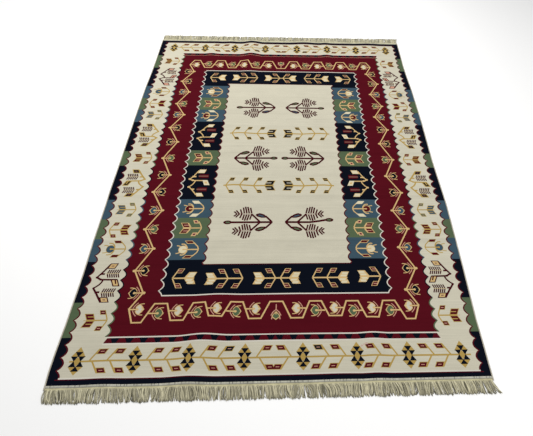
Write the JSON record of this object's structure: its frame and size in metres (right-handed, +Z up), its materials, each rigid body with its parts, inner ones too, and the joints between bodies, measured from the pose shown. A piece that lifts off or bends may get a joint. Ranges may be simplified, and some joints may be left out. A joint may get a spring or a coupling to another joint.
{
  "type": "kilim rug",
  "caption": "Flat-woven wool kilim rug with a cream field, a red border of flowers and cream guard borders, a cord along each side and a fringe at each end.",
  "frame": {"origin": "middle of the whole rug's outline, at the level of the floor it lies on", "axes": "+Y along the rug, from the near fringe to the far one, +X to the right across it, +Z up"},
  "size_m": [2.0436, 3.1876, 0.022],
  "materials": {
    "wool_weave": "matt flat-woven wool, cream with maroon, navy, blue, green and gold",
    "binding_thread": "matt overcast wool thread",
    "fringe_yarn": "matt twisted ivory cotton yarn"
  },
  "bodies": {
    "root": {"rug_panel": "wool_weave", "edge_binding_left": "binding_thread", "edge_binding_right": "binding_thread", "fringe_near": "fringe_yarn", "fringe_far": "fringe_yarn"}
  },
  "joints": []
}
